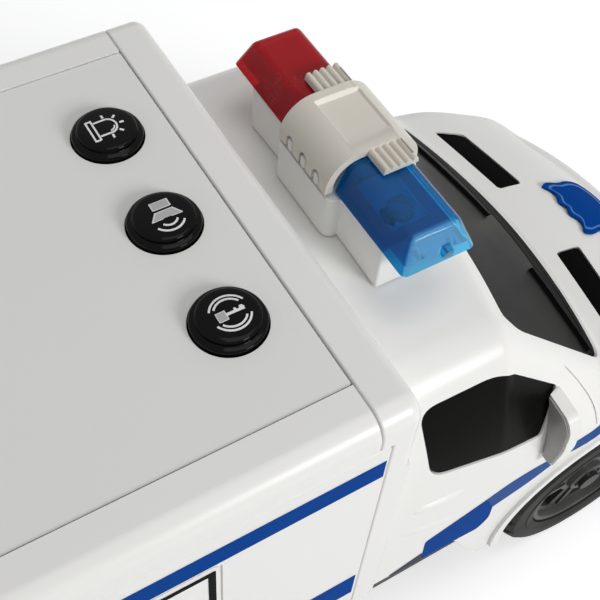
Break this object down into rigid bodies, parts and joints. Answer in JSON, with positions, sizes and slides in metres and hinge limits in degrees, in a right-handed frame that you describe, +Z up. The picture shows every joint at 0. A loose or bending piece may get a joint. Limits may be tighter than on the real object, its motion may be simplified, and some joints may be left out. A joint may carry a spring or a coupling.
{
  "type": "remote control police van",
  "caption": "Toy police van with a box body, lightbar lenses, roof push buttons, steered front wheels and a geared rear axle driven by an electric motor.",
  "frame": {"origin": "on the ground, in the middle of the van's length and width", "axes": "+X forward, +Y to the van's left, +Z up"},
  "size_m": [0.28, 0.1146, 0.1286],
  "materials": {
    "white_plastic": "satin moulded",
    "roof_plastic": "satin moulded",
    "cream_plastic": "satin moulded",
    "black_plastic": "matt moulded",
    "gloss_black_plastic": "gloss",
    "tinted_pane": "gloss, dark tint",
    "red_lens": "clear red, gloss",
    "blue_lens": "clear blue, gloss",
    "clear_lens": "clear, gloss",
    "blue_plastic": "printed, satin",
    "silver_plastic": "silver, satin",
    "steel": "plain",
    "brass": "plain",
    "grey_plastic": "satin moulded",
    "tyre_rubber": "matt",
    "nylon": "matt",
    "circuit_board": "satin"
  },
  "bodies": {
    "van_body": {"box_shell": "white_plastic", "box_front_hoop": "white_plastic", "cab_shell": "white_plastic", "mirror_left": "white_plastic", "mirror_right": "white_plastic", "rear_doors": "white_plastic", "lightbar_base": "white_plastic", "roof_panel": "roof_plastic", "lightbar_saddle": "cream_plastic", "chassis": "black_plastic", "cowl_trim": "black_plastic", "bonnet_vent_left": "black_plastic", "bonnet_vent_right": "black_plastic", "grille": "black_plastic", "battery_cover": "black_plastic", "speaker": "black_plastic", "gearbox_housing": "black_plastic", "steering_bridge": "black_plastic", "steering_motor": "black_plastic", "windscreen": "tinted_pane", "side_window_left": "tinted_pane", "side_window_right": "tinted_pane", "lens_red": "red_lens", "tail_light_left": "red_lens", "tail_light_right": "red_lens", "lens_blue": "blue_lens", "headlight_left": "clear_lens", "headlight_right": "clear_lens", "light_board": "clear_lens", "bonnet_badge": "blue_plastic", "battery_pack": "blue_plastic", "mirror_glass_left": "silver_plastic", "mirror_glass_right": "silver_plastic", "battery_cover_screw": "steel", "drive_motor": "steel", "front_bumper": "grey_plastic", "rear_bumper": "grey_plastic", "button_board": "circuit_board", "main_board": "circuit_board"},
    "beacon_button": {"beacon_button": "gloss_black_plastic"},
    "sound_button": {"sound_button": "gloss_black_plastic"},
    "start_button": {"start_button": "gloss_black_plastic"},
    "power_switch": {"power_switch": "silver_plastic"},
    "motor_pinion": {"motor_pinion": "brass"},
    "idler_gear": {"idler_gear": "nylon"},
    "rear_axle": {"rear_axle": "steel", "axle_gear": "nylon", "rear_rim_left": "grey_plastic", "rear_rim_right": "grey_plastic", "rear_tyre_left": "tyre_rubber", "rear_tyre_right": "tyre_rubber"},
    "servo_arm": {"servo_arm": "nylon"},
    "tie_rod": {"tie_rod": "black_plastic"},
    "knuckle_left": {"knuckle_left": "black_plastic"},
    "knuckle_right": {"knuckle_right": "black_plastic"},
    "front_wheel_left": {"front_rim_left": "grey_plastic", "front_tyre_left": "tyre_rubber"},
    "front_wheel_right": {"front_rim_right": "grey_plastic", "front_tyre_right": "tyre_rubber"}
  },
  "joints": [
    {"name": "beacon_press", "type": "slide", "parent": "van_body", "child": "beacon_button", "axis": [0, 0, -1], "range_m": [0, 0.0015], "stiffness_N_per_m": 300},
    {"name": "sound_press", "type": "slide", "parent": "van_body", "child": "sound_button", "axis": [0, 0, -1], "range_m": [0, 0.0015], "stiffness_N_per_m": 300},
    {"name": "start_press", "type": "slide", "parent": "van_body", "child": "start_button", "axis": [0, 0, -1], "range_m": [0, 0.0015], "stiffness_N_per_m": 300},
    {"name": "power_slide", "type": "slide", "parent": "van_body", "child": "power_switch", "axis": [1, 0, 0], "range_m": [0, 0.004]},
    {"name": "steer_left", "type": "hinge", "parent": "van_body", "child": "knuckle_left", "pos_m": [0.0895, 0.031, 0.0255], "axis": [0, 0, 1], "range_deg": [-22, 22], "stiffness_Nm_per_rad": 0.03},
    {"name": "steer_right", "type": "hinge", "parent": "van_body", "child": "knuckle_right", "pos_m": [0.0895, -0.031, 0.0255], "axis": [0, 0, 1], "range_deg": [-22, 22]},
    {"name": "tie_rod_slide", "type": "slide", "parent": "van_body", "child": "tie_rod", "axis": [0, 1, 0], "range_m": [-0.00424, 0.00424]},
    {"name": "servo_turn", "type": "hinge", "parent": "van_body", "child": "servo_arm", "pos_m": [0.0675, 0, 0.0275], "axis": [0, 0, 1], "range_deg": [-22, 22]},
    {"name": "front_left_roll", "type": "hinge", "parent": "knuckle_left", "child": "front_wheel_left", "pos_m": [0.0895, 0.0448, 0.0255], "axis": [0, 1, 0], "continuous": true},
    {"name": "front_right_roll", "type": "hinge", "parent": "knuckle_right", "child": "front_wheel_right", "pos_m": [0.0895, -0.0448, 0.0255], "axis": [0, 1, 0], "continuous": true},
    {"name": "rear_roll", "type": "hinge", "parent": "van_body", "child": "rear_axle", "pos_m": [-0.0805, 0, 0.0255], "axis": [0, 1, 0], "continuous": true},
    {"name": "idler_turn", "type": "hinge", "parent": "van_body", "child": "idler_gear", "pos_m": [-0.06445, -0.018, 0.03674], "axis": [0, 1, 0], "continuous": true},
    {"name": "pinion_turn", "type": "hinge", "parent": "van_body", "child": "motor_pinion", "pos_m": [-0.05326, -0.018, 0.04081], "axis": [0, 1, 0], "continuous": true}
  ],
  "couplings": [
    {"joint": "steer_right", "follows": "steer_left", "ratio": 1},
    {"joint": "tie_rod_slide", "follows": "steer_left", "m_per_rad": -0.011},
    {"joint": "servo_turn", "follows": "steer_left", "ratio": -1},
    {"joint": "idler_turn", "follows": "rear_roll", "ratio": -1.3333},
    {"joint": "pinion_turn", "follows": "rear_roll", "ratio": 3.2}
  ]
}
